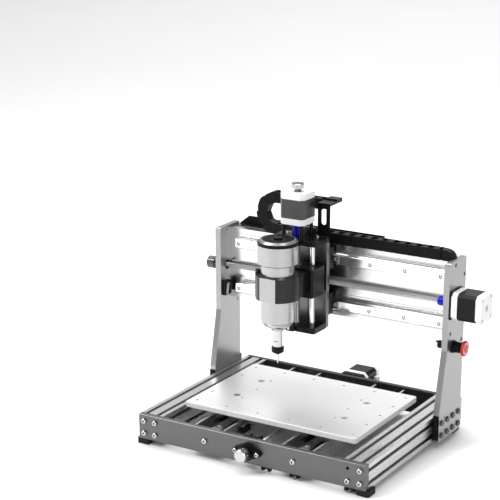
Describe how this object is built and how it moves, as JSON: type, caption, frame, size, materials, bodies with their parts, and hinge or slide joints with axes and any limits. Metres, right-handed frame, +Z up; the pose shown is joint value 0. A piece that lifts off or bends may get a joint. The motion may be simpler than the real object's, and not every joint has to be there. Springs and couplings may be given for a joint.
{
  "type": "cnc router",
  "caption": "Desktop CNC router: aluminium base with a sliding bed, fixed gantry beam on two uprights, and a screw-driven carriage with a Z unit holding a cylindrical spindle.",
  "frame": {"origin": "centre of the bounding box in plan, on the surface the rubber feet stand on", "axes": "+X to the right along the front plate, +Y to the rear, +Z up; rest state with the carriage left of the middle"},
  "size_m": [0.4952, 0.406, 0.3896],
  "materials": {
    "anodised_grey": "satin grey anodised plate",
    "dark_plate": "satin dark grey plate",
    "silver": "satin clear anodised extrusion",
    "bright": "satin machined",
    "steel": "ground steel",
    "black": "satin black painted",
    "black_alu": "satin black anodised",
    "back_plate": "satin dark grey anodised",
    "bright_screws": "nickel-plated screws",
    "black_plastic": "matt black plastic",
    "black_screws": "black oxide screws",
    "rubber": "matt",
    "white_cap": "satin white cast metal",
    "blue": "blue anodised",
    "red": "gloss red plastic",
    "brass": "turned",
    "chrome": "polished"
  },
  "bodies": {
    "frame": {"front_plate": "anodised_grey", "rear_plate": "dark_plate", "side_profiles": "silver", "support_channels": "silver", "bed_rails": "steel", "rail_screws": "bright_screws", "rubber_feet": "rubber", "black_trim": "black_plastic", "plate_screws": "bright_screws", "screw_bearings": "black_alu", "motor_spacers": "black_plastic", "fixed_motor_bodies": "black", "fixed_motor_caps": "white_cap", "limit_switches": "black_plastic", "upright_left": "anodised_grey", "upright_right": "anodised_grey", "upright_screws": "bright_screws", "gantry_beam": "silver", "beam_rails": "steel", "estop_housing": "black_plastic", "chain_guide": "black_plastic", "chain_run_low": "black_plastic"},
    "bed": {"bed_plate": "bright", "bed_blocks": "steel", "y_nut": "black_alu"},
    "x_carriage": {"carriage_plate": "back_plate", "carriage_screws": "bright_screws", "carriage_blocks": "black", "x_nut": "black_alu", "z_frame": "black_alu", "z_rods": "chrome", "z_motor_body": "black", "z_motor_caps": "white_cap", "z_limit_switch": "black_plastic", "chain_bracket": "black", "chain_run_high": "black_plastic"},
    "z_carriage": {"slide_block": "black_alu", "z_bushings": "brass", "spindle_clamp": "black_alu", "spindle_nose": "bright", "spindle_can": "bright", "spindle_ring": "black_plastic"},
    "spindle_rotor": {"spindle_shaft": "chrome", "collet_nut": "black_screws", "cutter": "chrome"},
    "x_screw": {"x_lead_screw": "steel", "x_coupling": "blue", "x_knob": "bright"},
    "y_screw": {"y_lead_screw": "steel", "y_knob": "bright"},
    "z_screw": {"z_lead_screw": "steel", "z_coupling": "blue", "z_knob": "chrome"},
    "estop_plunger": {"estop_plunger": "black_plastic"},
    "estop_head": {"estop_head": "red"},
    "x_lever": {"x_limit_lever": "steel"},
    "y_lever": {"y_limit_lever": "steel"},
    "z_lever": {"z_limit_lever": "steel"},
    "chain_bend_low": {"chain_bend_low": "black_plastic"},
    "chain_bend_high": {"chain_bend_high": "black_plastic"}
  },
  "joints": [
    {"name": "x_travel", "type": "slide", "parent": "frame", "child": "x_carriage", "axis": [1, 0, 0], "range_m": [-0.105, 0.183], "deforming": ["chain_run_low", "chain_run_high"]},
    {"name": "y_travel", "type": "slide", "parent": "frame", "child": "bed", "axis": [0, 1, 0], "range_m": [-0.083, 0.087]},
    {"name": "z_travel", "type": "slide", "parent": "x_carriage", "child": "z_carriage", "axis": [0, 0, 1], "range_m": [-0.045, 0.024]},
    {"name": "spindle_turn", "type": "hinge", "parent": "z_carriage", "child": "spindle_rotor", "pos_m": [-0.05245, -0.028, 0.15], "axis": [0, 0, 1], "continuous": true},
    {"name": "x_screw_turn", "type": "hinge", "parent": "frame", "child": "x_screw", "pos_m": [-0.01365, 0.0796, 0.2248], "axis": [1, 0, 0], "continuous": true},
    {"name": "y_screw_turn", "type": "hinge", "parent": "frame", "child": "y_screw", "pos_m": [-0.01365, -0.0175, 0.0295], "axis": [0, 1, 0], "continuous": true},
    {"name": "z_screw_turn", "type": "hinge", "parent": "x_carriage", "child": "z_screw", "pos_m": [-0.05245, 0.031, 0.25], "axis": [0, 0, 1], "continuous": true},
    {"name": "estop_press", "type": "slide", "parent": "frame", "child": "estop_plunger", "axis": [1, 0, 0], "range_m": [-0.004, 0], "stiffness_N_per_m": 300},
    {"name": "estop_twist", "type": "hinge", "parent": "estop_plunger", "child": "estop_head", "pos_m": [0.21135, 0.08, 0.155], "axis": [1, 0, 0], "range_deg": [0, 35], "stiffness_Nm_per_rad": 0.05},
    {"name": "x_switch_lever", "type": "hinge", "parent": "frame", "child": "x_lever", "pos_m": [-0.20515, 0.067, 0.1795], "axis": [0, 1, 0], "range_deg": [-6, 0], "stiffness_Nm_per_rad": 0.02},
    {"name": "y_switch_lever", "type": "hinge", "parent": "frame", "child": "y_lever", "pos_m": [-0.06065, -0.1195, 0.0391], "axis": [1, 0, 0], "range_deg": [-6, 0], "stiffness_Nm_per_rad": 0.02},
    {"name": "z_switch_lever", "type": "hinge", "parent": "x_carriage", "child": "z_lever", "pos_m": [-0.08945, 0.0415, 0.2897], "axis": [0, 1, 0], "range_deg": [-6, 0], "stiffness_Nm_per_rad": 0.02},
    {"name": "chain_low_shift", "type": "slide", "parent": "frame", "child": "chain_bend_low", "axis": [1, 0, 0], "range_m": [-0.0545, 0.0935]},
    {"name": "chain_high_shift", "type": "slide", "parent": "x_carriage", "child": "chain_bend_high", "axis": [1, 0, 0], "range_m": [-0.0935, 0.0545]}
  ],
  "couplings": [
    {"joint": "x_screw_turn", "follows": "x_travel", "rad_per_m": -785.4},
    {"joint": "y_screw_turn", "follows": "y_travel", "rad_per_m": -785.4},
    {"joint": "z_screw_turn", "follows": "z_travel", "rad_per_m": -785.4},
    {"joint": "chain_low_shift", "follows": "x_travel", "ratio": 0.5},
    {"joint": "chain_high_shift", "follows": "x_travel", "ratio": -0.5}
  ]
}
